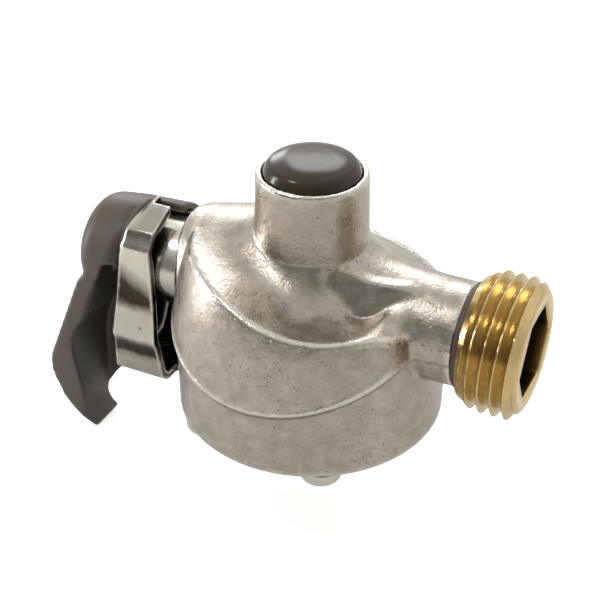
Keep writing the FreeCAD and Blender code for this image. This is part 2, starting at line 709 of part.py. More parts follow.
def lock_springs():
    springs = []
    for y in (-lock_spring_y, lock_spring_y):
        one = coil(lock_spring_mean_r, lock_spring_wire_r, lock_spring_len, lock_spring_turns)
        one.rotate(ORIGIN, SIDE, 90)
        one.translate(Vector(lock_spring_x(y) + 0.05, y, plate_t + lock_gap + lock_t / 2))
        springs.append(one)
    return Part.makeCompound(springs)


NODES = {
    "body_casting": body_casting,
    "plunger_cap": plunger_cap,
    "plunger_stem": plunger_stem,
    "plunger_oring": plunger_oring,
    "plunger_spring": plunger_spring,
    "push_pin": push_pin,
    "inlet_nozzle": inlet_nozzle,
    "nozzle_seal": nozzle_seal,
    "spindle": spindle,
    "spindle_orings": spindle_orings,
    "spindle_gland": spindle_gland,
    "gland_seal": gland_seal,
    "lever_bracket": lever_bracket,
    "lever_handle": lever_handle,
    "lever_screw": lever_screw,
    "lever_washer": lever_washer,
    "outlet_nipple": outlet_nipple,
    "nipple_washer": nipple_washer,
    "retaining_plate": retaining_plate,
    "cover_screws": cover_screws,
    "lock_plate": lock_plate,
    "lock_springs": lock_springs,
}

os.makedirs("parts", exist_ok=True)
for name, make in NODES.items():
    shape = make()
    shape.exportStep("parts/" + name + ".step")
    print(name, "solids", len(shape.Solids), "valid", shape.isValid(), "volume", round(shape.Volume, 1))
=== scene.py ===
"""Clip-on gas tap adapter: cast body, lever, bracket and threaded outlet over the fixed frame.

Sizes are in millimetres in the frame of the CAD: +Z up the chimney, +X out of the outlet.
"""
import json
import math

import bpy
import bmesh
import numpy as np
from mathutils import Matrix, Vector


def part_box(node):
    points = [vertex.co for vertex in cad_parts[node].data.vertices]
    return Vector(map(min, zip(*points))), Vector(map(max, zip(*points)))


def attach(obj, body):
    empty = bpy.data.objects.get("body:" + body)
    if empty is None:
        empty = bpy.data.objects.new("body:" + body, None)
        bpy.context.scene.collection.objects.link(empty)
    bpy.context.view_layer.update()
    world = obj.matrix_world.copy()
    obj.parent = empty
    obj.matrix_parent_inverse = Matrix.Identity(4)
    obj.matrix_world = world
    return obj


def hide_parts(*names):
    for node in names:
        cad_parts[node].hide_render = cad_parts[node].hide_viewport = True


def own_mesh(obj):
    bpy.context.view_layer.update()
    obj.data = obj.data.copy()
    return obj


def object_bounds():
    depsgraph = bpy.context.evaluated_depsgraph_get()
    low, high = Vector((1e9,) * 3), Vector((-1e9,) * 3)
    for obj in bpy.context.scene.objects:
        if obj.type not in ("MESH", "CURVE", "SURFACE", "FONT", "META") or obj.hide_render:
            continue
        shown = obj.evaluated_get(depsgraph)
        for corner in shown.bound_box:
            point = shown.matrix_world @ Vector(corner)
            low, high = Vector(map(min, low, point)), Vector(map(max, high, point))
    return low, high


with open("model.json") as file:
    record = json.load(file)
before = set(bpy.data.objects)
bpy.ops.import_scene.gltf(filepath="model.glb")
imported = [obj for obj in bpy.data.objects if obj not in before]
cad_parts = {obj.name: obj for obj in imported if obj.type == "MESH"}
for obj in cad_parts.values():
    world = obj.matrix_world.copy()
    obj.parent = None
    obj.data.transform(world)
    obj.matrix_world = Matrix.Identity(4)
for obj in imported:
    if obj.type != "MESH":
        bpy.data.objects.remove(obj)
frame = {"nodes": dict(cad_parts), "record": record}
cad_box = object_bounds()

MM = 0.001
AXIS_Z = 19.7
SIDES = 288
MOST_TRIANGLES = 190000


# Shader helpers

def add_node(tree, kind, **values):
    """A node whose sockets, or else whose properties, take the given plain values by name."""
    node = tree.nodes.new(kind)
    for name, value in values.items():
        if name in node.inputs:
            node.inputs[name].default_value = value
        else:
            setattr(node, name, value)
    return node


def new_group(name, inputs, outputs):
    """An empty shader group with named inputs (type, default) and outputs (type)."""
    tree = bpy.data.node_groups.new(name, "ShaderNodeTree")
    for label, (kind, value) in inputs.items():
        socket = tree.interface.new_socket(label, in_out="INPUT", socket_type=kind)
        socket.default_value = value
    for label, kind in outputs.items():
        tree.interface.new_socket(label, in_out="OUTPUT", socket_type=kind)
    return tree, tree.nodes.new("NodeGroupInput"), tree.nodes.new("NodeGroupOutput")


def math_node(tree, operation, a, b, clamp=False):
    """The result of one sum, where a and b are sockets or plain numbers."""
    node = tree.nodes.new("ShaderNodeMath")
    node.operation = operation
    node.use_clamp = clamp
    for k, value in enumerate((a, b)):
        if hasattr(value, "links"):
            tree.links.new(value, node.inputs[k])
        else:
            node.inputs[k].default_value = value
    return node.outputs[0]


def ramp(tree, value, low, high):
    """Value stretched from low..high to 0..1, clamped."""
    node = tree.nodes.new("ShaderNodeMapRange")
    node.inputs["From Min"].default_value = low
    node.inputs["From Max"].default_value = high
    tree.links.new(value, node.inputs["Value"])
    return node.outputs["Result"]


def mix_colour(tree, factor, a, b):
    """Colour a going over to b as the factor goes from 0 to 1; each is a socket or a plain value."""
    node = tree.nodes.new("ShaderNodeMix")
    node.data_type = "RGBA"
    for socket, value in ((node.inputs["Factor"], factor), (node.inputs["A"], a), (node.inputs["B"], b)):
        if hasattr(value, "links"):
            tree.links.new(value, socket)
        else:
            socket.default_value = value
    return node.outputs["Result"]


def scaled(colour, factor):
    """The colour made lighter or darker, with no part above 1."""
    return tuple(min(1.0, factor * part) for part in colour[:3]) + (1,)


def grain_group():
    """Skin of a casting or moulding: fine bumps, shallow waves, sparse dark pits and sandy speckles."""
    tree, start, end = new_group(
        "surface_grain",
        {"Fine Scale": ("NodeSocketFloat", 2600.0), "Wave Scale": ("NodeSocketFloat", 260.0),
         "Pit Scale": ("NodeSocketFloat", 900.0), "Pit Share": ("NodeSocketFloat", 0.06)},
        {"Height": "NodeSocketFloat", "Pits": "NodeSocketFloat", "Blotch": "NodeSocketFloat",
         "Speckle": "NodeSocketFloat"})
    place = tree.nodes.new("ShaderNodeTexCoord").outputs["Object"]

    def noise(scale, detail):
        node = add_node(tree, "ShaderNodeTexNoise", Detail=detail, Roughness=0.6)
        tree.links.new(place, node.inputs["Vector"])
        tree.links.new(scale, node.inputs["Scale"])
        return node.outputs["Fac"]

    fine = noise(start.outputs["Fine Scale"], 3.0)
    wave = noise(start.outputs["Wave Scale"], 4.0)
    cells = tree.nodes.new("ShaderNodeTexVoronoi")
    tree.links.new(place, cells.inputs["Vector"])
    tree.links.new(start.outputs["Pit Scale"], cells.inputs["Scale"])
    chosen = tree.nodes.new("ShaderNodeSeparateColor")
    tree.links.new(cells.outputs["Color"], chosen.inputs["Color"])
    rare = math_node(tree, "LESS_THAN", chosen.outputs["Red"], start.outputs["Pit Share"])
    near = ramp(tree, cells.outputs["Distance"], 0.36, 0.12)
    pits = math_node(tree, "MULTIPLY", rare, near)
    bumps = math_node(tree, "MULTIPLY", fine, 0.9)
    waves = math_node(tree, "MULTIPLY", wave, 1.4)
    both = math_node(tree, "ADD", bumps, waves)
    tree.links.new(math_node(tree, "SUBTRACT", both, pits), end.inputs["Height"])
    tree.links.new(pits, end.inputs["Pits"])
    tree.links.new(ramp(tree, wave, 0.38, 0.64), end.inputs["Blotch"])
    tree.links.new(ramp(tree, fine, 0.40, 0.64), end.inputs["Speckle"])
    return tree


def wear_and_light_group():
    """Worn edges, which carry painted highlights where the attribute is raised for them, and painted shade
    in the hollows, from the piece's own edge attribute broken up by noise.
    """
    tree, start, end = new_group(
        "edge_wear_and_light",
        {"Breakup Scale": ("NodeSocketFloat", 700.0), "Reach": ("NodeSocketFloat", 0.5)},
        {"Rubbed And Highlit": "NodeSocketFloat", "Hollow": "NodeSocketFloat"})
    edge = add_node(tree, "ShaderNodeAttribute", attribute_name="edge").outputs["Fac"]
    noise = add_node(tree, "ShaderNodeTexNoise", Detail=4.0)
    tree.links.new(tree.nodes.new("ShaderNodeTexCoord").outputs["Object"], noise.inputs["Vector"])
    tree.links.new(start.outputs["Breakup Scale"], noise.inputs["Scale"])
    spread = math_node(tree, "MULTIPLY", ramp(tree, noise.outputs["Fac"], 0.3, 0.7), start.outputs["Reach"])
    rubbed_and_highlit = math_node(tree, "SUBTRACT", edge, spread, True)
    hollow = math_node(tree, "SUBTRACT", math_node(tree, "MULTIPLY", edge, -1.0), spread, True)
    tree.links.new(rubbed_and_highlit, end.inputs["Rubbed And Highlit"])
    tree.links.new(hollow, end.inputs["Hollow"])
    return tree


GRAIN = grain_group()
WEAR_AND_LIGHT = wear_and_light_group()


def finish_base(name, roughness, metallic):
    """A new material with its shader, and a grain group and a group of worn edges and painted light placed
    in it.
    """
    material = bpy.data.materials.new(name)
    material.use_nodes = True
    tree = material.node_tree
    shader = tree.nodes["Principled BSDF"]
    shader.inputs["Roughness"].default_value = roughness
    shader.inputs["Metallic"].default_value = metallic
    grain = tree.nodes.new("ShaderNodeGroup")
    grain.node_tree = GRAIN
    wear_and_light = tree.nodes.new("ShaderNodeGroup")
    wear_and_light.node_tree = WEAR_AND_LIGHT
    return material, tree, shader, grain, wear_and_light


def set_bump(tree, shader, height, strength, distance_mm):
    """Lets the height socket turn the shader's normals."""
    bump = add_node(tree, "ShaderNodeBump", Strength=strength, Distance=distance_mm * MM)
    tree.links.new(height, bump.inputs["Height"])
    tree.links.new(bump.outputs["Normal"], shader.inputs["Normal"])


def cast_zinc():
    """Bare die-cast zinc: blotched and sandy grey, clustered pits, lighter worn edges with painted
    highlights, and painted shade in the hollows.
    """
    material, tree, shader, grain, wear_and_light = finish_base("cast_zinc", 0.34, 1.0)
    grain.inputs["Fine Scale"].default_value = 2200.0
    grain.inputs["Wave Scale"].default_value = 420.0
    grain.inputs["Pit Scale"].default_value = 2300.0
    wear_and_light.inputs["Reach"].default_value = 0.35
    clusters = add_node(tree, "ShaderNodeTexNoise", Scale=75.0, Detail=2.0)
    tree.links.new(tree.nodes.new("ShaderNodeTexCoord").outputs["Object"], clusters.inputs["Vector"])
    crowded = math_node(tree, "MULTIPLY", ramp(tree, clusters.outputs["Fac"], 0.48, 0.72), 0.20)
    tree.links.new(math_node(tree, "ADD", crowded, 0.01), grain.inputs["Pit Share"])
    plain = mix_colour(tree, grain.outputs["Blotch"], (0.40, 0.365, 0.32, 1), (0.51, 0.47, 0.415, 1))
    sand = math_node(tree, "MULTIPLY", grain.outputs["Speckle"], 0.16)
    sandy = mix_colour(tree, sand, plain, (0.20, 0.175, 0.15, 1))
    pitted = mix_colour(tree, grain.outputs["Pits"], sandy, (0.19, 0.16, 0.13, 1))
    # Lighter edges: worn, with a painted highlight where the edge attribute is raised for one.
    rubbed_and_highlit = mix_colour(tree, wear_and_light.outputs["Rubbed And Highlit"], pitted, (0.70, 0.67, 0.61, 1))
    # Painted shade in the hollows and in the shadow line under the lip.
    hollow = mix_colour(tree, wear_and_light.outputs["Hollow"], rubbed_and_highlit, (0.28, 0.24, 0.20, 1))
    tree.links.new(hollow, shader.inputs["Base Color"])
    rough = math_node(tree, "ADD", math_node(tree, "MULTIPLY", grain.outputs["Blotch"], 0.09), 0.27)
    smooth = math_node(tree, "MULTIPLY", wear_and_light.outputs["Rubbed And Highlit"], 0.12)
    tree.links.new(math_node(tree, "SUBTRACT", rough, smooth), shader.inputs["Roughness"])
    set_bump(tree, shader, grain.outputs["Height"], 0.9, 0.08)
    return material


def moulded_plastic(name, base, pale, roughness, fine_scale, bump_mm):
    """Cloudy plastic, pale where it is worn, and darkened by painted shade where the piece's attribute for
    painted shade says.
    """
    material, tree, shader, grain, wear_and_light = finish_base(name, roughness, 0.0)
    grain.inputs["Fine Scale"].default_value = fine_scale
    grain.inputs["Wave Scale"].default_value = 180.0
    grain.inputs["Pit Share"].default_value = 0.0
    wear_and_light.inputs["Reach"].default_value = 0.3
    shader.inputs["Specular IOR Level"].default_value = 0.35
    cloudy = mix_colour(tree, grain.outputs["Blotch"], base, scaled(base, 1.12))
    worn = mix_colour(tree, wear_and_light.outputs["Rubbed And Highlit"], cloudy, pale)
    # Painted shade: the base turned much darker on faces that the piece marks as lying in shade.
    painted_shade = add_node(tree, "ShaderNodeAttribute", attribute_name="painted_shade").outputs["Fac"]
    tree.links.new(mix_colour(tree, painted_shade, worn, scaled(base, 0.42)), shader.inputs["Base Color"])
    set_bump(tree, shader, grain.outputs["Height"], 0.35, bump_mm)
    return material


def plated_steel(name, base, tint, roughness):
    """Zinc-plated sheet or wire, with painted dark reflections and painted shade where the piece's
    attribute for them says.
    """
    material, tree, shader, grain, wear_and_light = finish_base(name, roughness, 1.0)
    grain.inputs["Fine Scale"].default_value = 1500.0
    grain.inputs["Wave Scale"].default_value = 320.0
    grain.inputs["Pit Share"].default_value = 0.012
    wear_and_light.inputs["Reach"].default_value = 0.35
    cloudy = mix_colour(tree, grain.outputs["Blotch"], base, tint)
    # Painted dark reflections and painted shade, in this near-black colour.
    painted_reflection_and_shade = add_node(tree, "ShaderNodeAttribute", attribute_name="painted_reflection_and_shade").outputs["Fac"]
    painted_dark = mix_colour(tree, painted_reflection_and_shade, cloudy, (0.040, 0.030, 0.021, 1))
    pitted = mix_colour(tree, grain.outputs["Pits"], painted_dark, (0.22, 0.20, 0.17, 1))
    rubbed_and_highlit = mix_colour(tree, wear_and_light.outputs["Rubbed And Highlit"], pitted, (0.68, 0.66, 0.60, 1))
    tree.links.new(rubbed_and_highlit, shader.inputs["Base Color"])
    dull = math_node(tree, "MULTIPLY", grain.outputs["Blotch"], 0.1)
    tree.links.new(math_node(tree, "ADD", dull, roughness - 0.04), shader.inputs["Roughness"])
    set_bump(tree, shader, grain.outputs["Height"], 0.35, 0.02)
    return material


def turned_metal(name, base, deep, roughness, lines_per_mm, bump_mm):
    """Lathe-turned metal: fine rings across X, painted shade in the hollows, and much darker painted shade
    where the piece marks its shaded places.
    """
    material, tree, shader, grain, wear_and_light = finish_base(name, roughness, 1.0)
    grain.inputs["Pit Share"].default_value = 0.0
    grain.inputs["Wave Scale"].default_value = 300.0
    wear_and_light.inputs["Reach"].default_value = 0.2
    place = tree.nodes.new("ShaderNodeSeparateXYZ")
    tree.links.new(tree.nodes.new("ShaderNodeTexCoord").outputs["Object"], place.inputs[0])
    rings = add_node(tree, "ShaderNodeTexNoise", Detail=2.0)
    rings.noise_dimensions = "1D"
    rings.inputs["Scale"].default_value = lines_per_mm / MM
    tree.links.new(place.outputs["X"], rings.inputs["W"])
    # Painted shade in the hollows.
    darker_hollows = mix_colour(tree, wear_and_light.outputs["Hollow"], base, deep)
    bright = mix_colour(tree, wear_and_light.outputs["Rubbed And Highlit"], darker_hollows, scaled(base, 1.18))
    cloudy = mix_colour(tree, math_node(tree, "MULTIPLY", grain.outputs["Blotch"], 0.22), bright, deep)
    # Painted shade, near black, where the piece marks it.
    painted_shade = add_node(tree, "ShaderNodeAttribute", attribute_name="painted_shade").outputs["Fac"]
    tree.links.new(mix_colour(tree, painted_shade, cloudy, scaled(base, 0.12)), shader.inputs["Base Color"])
    lathed = math_node(tree, "MULTIPLY", rings.outputs["Fac"], 0.12)
    tree.links.new(math_node(tree, "ADD", lathed, roughness - 0.06), shader.inputs["Roughness"])
    set_bump(tree, shader, rings.outputs["Fac"], 0.4, bump_mm)
    return material


def soft_ring(name, base, roughness):
    """Rubber or pressed fibre with a fine, slightly pitted grain."""
    material, tree, shader, grain, _ = finish_base(name, roughness, 0.0)
    grain.inputs["Fine Scale"].default_value = 3000.0
    grain.inputs["Pit Share"].default_value = 0.02
    cloudy = mix_colour(tree, grain.outputs["Blotch"], base, scaled(base, 1.3))
    tree.links.new(cloudy, shader.inputs["Base Color"])
    set_bump(tree, shader, grain.outputs["Height"], 0.4, 0.03)
    return material


FINISH = {
    "cast_zinc": cast_zinc(),
    "cap_plastic": moulded_plastic(
        "cap_plastic", base=(0.032, 0.022, 0.012, 1), pale=(0.08, 0.068, 0.054, 1),
        roughness=0.22, fine_scale=900.0, bump_mm=0.01),
    "lever_plastic": moulded_plastic(
        "lever_plastic", base=(0.086, 0.071, 0.055, 1), pale=(0.15, 0.133, 0.112, 1),
        roughness=0.42, fine_scale=2200.0, bump_mm=0.03),
    "plated_steel": plated_steel(
        "plated_steel", base=(0.66, 0.625, 0.56, 1), tint=(0.58, 0.565, 0.49, 1), roughness=0.2),
    "bright_steel": turned_metal(
        "bright_steel", base=(0.66, 0.63, 0.58, 1), deep=(0.35, 0.32, 0.28, 1),
        roughness=0.2, lines_per_mm=9.0, bump_mm=0.004),
    "spring_steel": plated_steel(
        "spring_steel", base=(0.42, 0.42, 0.43, 1), tint=(0.36, 0.36, 0.38, 1), roughness=0.3),
    "brass": turned_metal(
        "brass", base=(0.64, 0.485, 0.24, 1), deep=(0.34, 0.24, 0.095, 1),
        roughness=0.19, lines_per_mm=7.0, bump_mm=0.006),
    "black_rubber": soft_ring("black_rubber", base=(0.022, 0.020, 0.019, 1), roughness=0.6),
    "brown_fibre": soft_ring("brown_fibre", base=(0.085, 0.050, 0.042, 1), roughness=0.5),
}
SLOT_OF = {s["node"]: s["material_slot"] for s in frame["record"]["subparts"]}
BODY_OF = {n: b for b, members in frame["record"]["behaviour"]["bodies"].items() for n in members}


# Mesh helpers

def read_points(mesh):
    """The mesh's points in millimetres."""
    points = np.zeros(len(mesh.vertices) * 3)
    mesh.vertices.foreach_get("co", points)
    return points.reshape(-1, 3) / MM


def write_points(mesh, points):
    """Puts the points, in millimetres, back into the mesh."""
    mesh.vertices.foreach_set("co", (points * MM).ravel())
    mesh.update()


def read_normals(mesh):
    normals = np.zeros(len(mesh.vertices) * 3)
    mesh.vertices.foreach_get("normal", normals)
    return normals.reshape(-1, 3)


def neighbour_mean(mesh):
    """A function that gives, for a value at each point, the mean of its neighbours' values."""
    count = len(mesh.vertices)
    pairs = np.zeros(len(mesh.edges) * 2, int)
    mesh.edges.foreach_get("vertices", pairs)
    a, b = pairs.reshape(-1, 2).T
    share = np.maximum(np.bincount(a, minlength=count) + np.bincount(b, minlength=count), 1)
    return lambda values: (np.bincount(a, values[b], count) + np.bincount(b, values[a], count)) / share


def store_values(mesh, name, values):
    layer = mesh.attributes.new(name, "FLOAT", "POINT")
    layer.data.foreach_set("value", values.astype(np.float32))


def mark_edges(mesh, reach_mm, passes):
    """Stores how convex the surface is at each point.

    That is how far the point stands out, along its normal, from the mean of its neighbours,
    evened out over a few rings of neighbours and divided by the reach.
    """
    mean_of = neighbour_mean(mesh)
    points = read_points(mesh)
    centre = np.stack([mean_of(points[:, k]) for k in range(3)], 1)
    curve = np.einsum("ij,ij->i", points - centre, read_normals(mesh))
    for _ in range(passes):
        curve = 0.5 * curve + 0.5 * mean_of(curve)
    store_values(mesh, "edge", np.clip(curve / reach_mm, -1, 1))


def relax(mesh, weight, passes):
    """Moves each point towards its neighbours' mean by its own weight, so chosen places turn soft."""
    mean_of = neighbour_mean(mesh)
    points = read_points(mesh)
    for _ in range(passes):
        centre = np.stack([mean_of(points[:, k]) for k in range(3)], 1)
        points += weight[:, None] * (centre - points)
    write_points(mesh, points)


def smooth_step(values, low, high):
    """0 below low, 1 above high, and t squared times (3 - 2 t) between them."""
    t = np.clip((values - low) / (high - low), 0, 1)
    return t * t * (3 - 2 * t)


def placed(name, data):
    """A new object in the scene, at the origin."""
    piece = bpy.data.objects.new(name, data)
    bpy.context.scene.collection.objects.link(piece)
    return piece


def dress(piece, *nodes):
    """The piece stands for these nodes, rides on their body and takes their finish."""
    slot_name = SLOT_OF[nodes[0]]
    piece.data.materials.clear()
    piece.data.materials.append(FINISH[slot_name])
    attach(piece, BODY_OF[nodes[0]])
    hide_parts(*nodes)
    return piece


def merged_copy(node):
    """The node's mesh with its loose triangles joined, as a mesh of its own."""
    mesh = frame["nodes"][node].data.copy()
    work = bmesh.new()
    work.from_mesh(mesh)
    bmesh.ops.remove_doubles(work, verts=work.verts, dist=0.002 * MM)
    bmesh.ops.dissolve_degenerate(work, edges=work.edges, dist=0.001 * MM)
    work.to_mesh(mesh)
    work.free()
    return mesh


def settled(piece):
    """The piece's mesh with its modifiers worked in."""
    shape = piece.evaluated_get(bpy.context.evaluated_depsgraph_get())
    mesh = bpy.data.meshes.new_from_object(shape)
    piece.modifiers.clear()
    piece.data = mesh
    return piece


def rounded_piece(name, node, grain_mm, rounds, edge_reach_mm, edge_passes=3, added=()):
    """Node, with any closed solids added, remade on a fine even grid with every edge soft."""
    mesh = merged_copy(node)
    for first, second in added:
        add_prism(mesh, first, second)
    piece = placed(name, mesh)
    grid = piece.modifiers.new("grid", "REMESH")
    grid.mode = "VOXEL"
    grid.voxel_size = grain_mm * MM
    soft = piece.modifiers.new("soft", "SMOOTH")
    soft.factor = 0.5
    soft.iterations = rounds
    settled(piece)
    piece.data.shade_smooth()
    mark_edges(piece.data, edge_reach_mm, edge_passes)
    return dress(piece, node)


def thinned(piece):
    """The piece with no more triangles than it may have: the flattest places give theirs up first."""
    piece.data.calc_loop_triangles()
    thin = piece.modifiers.new("thin", "DECIMATE")
    thin.ratio = MOST_TRIANGLES / len(piece.data.loop_triangles)
    settled(piece)
    piece.data.shade_smooth()
    return piece


def add_prism(mesh, first, second):
    """Adds the closed solid between two loops of as many points each, in millimetres."""
    work = bmesh.new()
    work.from_mesh(mesh)
    low, high = ([work.verts.new(Vector(point) * MM) for point in loop] for loop in (first, second))
    count = len(low)
    walls = [[low[k], low[(k + 1) % count], high[(k + 1) % count], high[k]] for k in range(count)]
    faces = [work.faces.new(corners) for corners in [low, high] + walls]
    bmesh.ops.recalc_face_normals(work, faces=faces)
    work.to_mesh(mesh)
    work.free()


def machined_piece(node, bevel_mm):
    """Node with its sharp edges broken by a small bevel."""
    sharp_angle = math.radians(35)
    piece = placed(node + "_edged", merged_copy(node))
    work = bmesh.new()
    work.from_mesh(piece.data)
    bmesh.ops.dissolve_limit(work, angle_limit=math.radians(1.0), verts=work.verts, edges=work.edges)
    work.to_mesh(piece.data)
    work.free()
    bevel = piece.modifiers.new("broken_edges", "BEVEL")
    bevel.width = bevel_mm * MM
    bevel.segments = 2
    bevel.angle_limit = sharp_angle
    bevel.use_clamp_overlap = True
    bevel.harden_normals = True
    settled(piece)
    piece.data.shade_smooth()
    piece.data.set_sharp_from_angle(angle=sharp_angle)
    return dress(piece, node)


def grid_mesh(name, points):
    """Quads over a (rows, columns, 3) array of points in millimetres, closed both ways.

    The volume that the quads enclose tells whether they face outwards, and they are turned if not.
    """
    rows, cols, _ = points.shape
    i = np.arange(rows)[:, None]
    j = np.arange(cols)[None, :]
    up = (i + 1) % rows
    on = (j + 1) % cols
    quads = np.stack([i * cols + j, i * cols + on, up * cols + on, up * cols + j], -1).reshape(-1, 4)
    flat = points.reshape(-1, 3) * MM
    p, q, r, s = (flat[quads[:, k]] for k in range(4))
    volume = np.einsum("ij,ij->i", p, np.cross(q, r)).sum() + np.einsum("ij,ij->i", p, np.cross(r, s)).sum()
    if volume < 0:
        quads = quads[:, ::-1]
    mesh = bpy.data.meshes.new(name)
    mesh.from_pydata(flat.tolist(), [], quads.tolist())
    work = bmesh.new()
    work.from_mesh(mesh)
    bmesh.ops.remove_doubles(work, verts=work.verts, dist=0.0005 * MM)
    work.to_mesh(mesh)
    work.free()
    mesh.shade_smooth()
    return mesh


def soft_profile(corners, steps=5):
    """Corner points (along, radius, rounding) joined by straight runs and quarter-like bends.

    Each bend is the curve (1-t)^2 a + 2t(1-t) c + t^2 b, where a and b lie the rounding before and
    after the corner c.
    """
    corners = np.array(corners, float)
    spots = corners[:, :2]
    back = np.roll(spots, 1, 0) - spots
    ahead = np.roll(spots, -1, 0) - spots
    back_len = np.maximum(np.linalg.norm(back, axis=1), 1e-9)
    ahead_len = np.maximum(np.linalg.norm(ahead, axis=1), 1e-9)
    size = np.minimum(corners[:, 2], 0.45 * np.minimum(back_len, ahead_len))
    a = spots + back * (size / back_len)[:, None]
    b = spots + ahead * (size / ahead_len)[:, None]
    t = np.linspace(0, 1, steps)[None, :, None]
    bend = (1 - t) ** 2 * a[:, None] + 2 * t * (1 - t) * spots[:, None] + t ** 2 * b[:, None]
    return bend.reshape(-1, 2)


def turned_piece(name, node, corners, along="X", steps=5):
    """Closed profile of (along, radius, rounding) corners turned about the lever's or chimney's axis."""
    profile = soft_profile(corners, steps)
    angle = np.linspace(0, 2 * math.pi, SIDES, endpoint=False)[None, :]
    run = profile[:, :1] + 0 * angle
    side = profile[:, 1:] * np.cos(angle)
    rise = profile[:, 1:] * np.sin(angle)
    points = np.stack([run, side, AXIS_Z + rise], -1) if along == "X" else np.stack([side, rise, run], -1)
    mesh = grid_mesh(name, points)
    mark_edges(mesh, 0.03, 1)
    return dress(placed(name, mesh), node)


def box_of(node):
    """The lowest and highest corner of the node's box, in millimetres."""
    low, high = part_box(node)
    return np.array(low) / MM, np.array(high) / MM


# The pieces

def outlet_thread():
    """Brass nipple as one closed ring of profiles.

    The outside radius is the smaller of a thread wave and the run of its chamfers. The wave is a
    triangle of phase p, which grows along X and with the angle so that the crest winds left-handed;
    asin(q cos p) with q a little under 1 gives the triangle its rounded crest and root. The key
    recess has radius f / cos of the angle from the nearest flat, cut off at its corners.
    """
    low, high = box_of("outlet_nipple")
    back = low[0]
    face = high[0]
    seat = box_of("nipple_washer")[1][0]
    shank_r = 6.5
    bore_r = 4.0
    crest_r = 10.9
    root_r = 9.5
    end_r = 9.1
    pitch = 1.96
    crest_x = 29.75
    sharpness = 0.97
    half_flats = 6.5
    corner_r = 7.36
    floor_x = face - 6.5
    rows = 150
    angle = np.linspace(0, 2 * math.pi, SIDES, endpoint=False)
    nearest = (angle + math.pi / 2 + math.pi / 6) % (math.pi / 3) - math.pi / 6
    hexagon = np.minimum(half_flats / np.cos(nearest), corner_r)

    def steady(xs, rs):
        """Round rings at these places along X, with these radii."""
        xs = np.asarray(xs, float)[:, None] + 0 * angle
        rs = np.asarray(rs, float)[:, None] + 0 * angle
        return np.stack([xs, rs], -1)

    def recess(x, spread):
        """One ring of the key recess, a little wider or narrower than its flats."""
        return np.stack([x + 0 * angle, hexagon + spread], -1)[None]

    x = np.linspace(seat, face - 0.22, rows)[:, None]
    phase = 2 * math.pi * (x - crest_x) / pitch + (angle - math.pi / 2)[None, :]
    wave = np.arcsin(sharpness * np.cos(phase)) / math.asin(sharpness)
    thread = (crest_r + root_r) / 2 + (crest_r - root_r) / 2 * wave
    run_in = 9.45 + (x - seat) * 0.62
    run_out = 9.12 + (face - x) * 1.15
    outer = np.maximum(np.minimum(thread, np.minimum(run_in, run_out)), end_r)
    threaded = np.stack([x + 0 * outer, outer], -1)
    shank = steady([back, back, back + 0.3, seat - 0.05, seat],
                   [bore_r + 0.2, shank_r - 0.3, shank_r, shank_r, shank_r + 0.1])
    seat_face = steady([seat, seat], [7.6, 9.2])
    rim = steady([face - 0.06, face, face], [8.98, 8.85, 8.3])
    key = [recess(face, 0.28), recess(face - 0.26, 0.02), recess(face - 0.4, 0),
           recess((face + floor_x) / 2, 0), recess(floor_x + 0.15, 0), recess(floor_x, -0.15)]
    bore = steady([floor_x, floor_x, floor_x - 0.2, 22.0, back + 0.2, back],
                  [6.0, bore_r + 0.2, bore_r, bore_r, bore_r, bore_r + 0.2])
    lines = np.concatenate([shank, seat_face, threaded, rim] + key + [bore])
    radius = lines[..., 1]
    points = np.stack([lines[..., 0], radius * np.cos(angle), AXIS_Z + radius * np.sin(angle)], -1)
    mesh = grid_mesh("brass_outlet", points)
    mesh.set_sharp_from_angle(angle=math.radians(50))
    mark_edges(mesh, 0.02, 1)
    spots = read_points(mesh)
    reach = np.hypot(spots[:, 1], spots[:, 2] - AXIS_Z)
    # Painted shade over the key recess and the bore, from just within the face.
    in_key = (reach < 7.6) * (spots[:, 0] > seat + 3)
    store_values(mesh, "painted_shade", smooth_step(face - spots[:, 0], 0.1, 0.9) * in_key)
    return dress(placed("brass_outlet", mesh), "outlet_nipple")


def sealing_ring():
    """Fibre ring between the casting's boss and the nipple."""
    (x0, _, _), (x1, _, _) = box_of("nipple_washer")
    bore_r = 6.55
    return turned_piece("fibre_ring", "nipple_washer",
                        [(x0, bore_r, 0.05), (x0, 8.35, 0.25), (x1, 8.3, 0.25), (x1, bore_r, 0.05)])


def gland_bush():
    """Bright flange, its thread into the casting and the spindle's bore, with painted shade that grows
    darker towards the bottom.
    """
    (x0, _, _), (x1, _, _) = box_of("spindle_gland")
    flange_x = box_of("gland_seal")[0][0]
    bore_r = 3.05
    flange_r = 7.4
    thread_r = 6.0
    piece = turned_piece("gland_bush", "spindle_gland",
                         [(x0, bore_r, 0.2), (x0, flange_r, 0.7), (flange_x, flange_r, 0.2),
                          (flange_x, thread_r, 0.1), (x1, thread_r, 0.5), (x1, bore_r, 0.2)])
    z = read_points(piece.data)[:, 2]
    # Painted shade, darker towards the bottom.
    store_values(piece.data, "painted_shade", 0.8 * (1 - smooth_step(z, AXIS_Z - 3.5, AXIS_Z + 4.0)))
    return piece


def dome_cap():
    """Pressed-up cap: flat skirt, soft brow, and a dome with a shallow ring before its crown."""
    (_, _, foot), (r, _, top) = box_of("plunger_cap")
    bore_r = 2.05
    roof = foot + 1.2
    brow = top - 2.0
    crown = top + 0.35
    return turned_piece("dome_cap", "plunger_cap",
                        [(foot, bore_r, 0.05), (foot, r, 0.3), (brow, r, 0.5), (brow + 1.45, r - 0.7, 1.2),
                         (crown - 0.15, r - 3.0, 2.2), (crown, 1.2, 1.0), (crown, 0.0, 0.0),
                         (roof, 0.0, 0.0), (roof, bore_r, 0.05)], along="Z", steps=8)


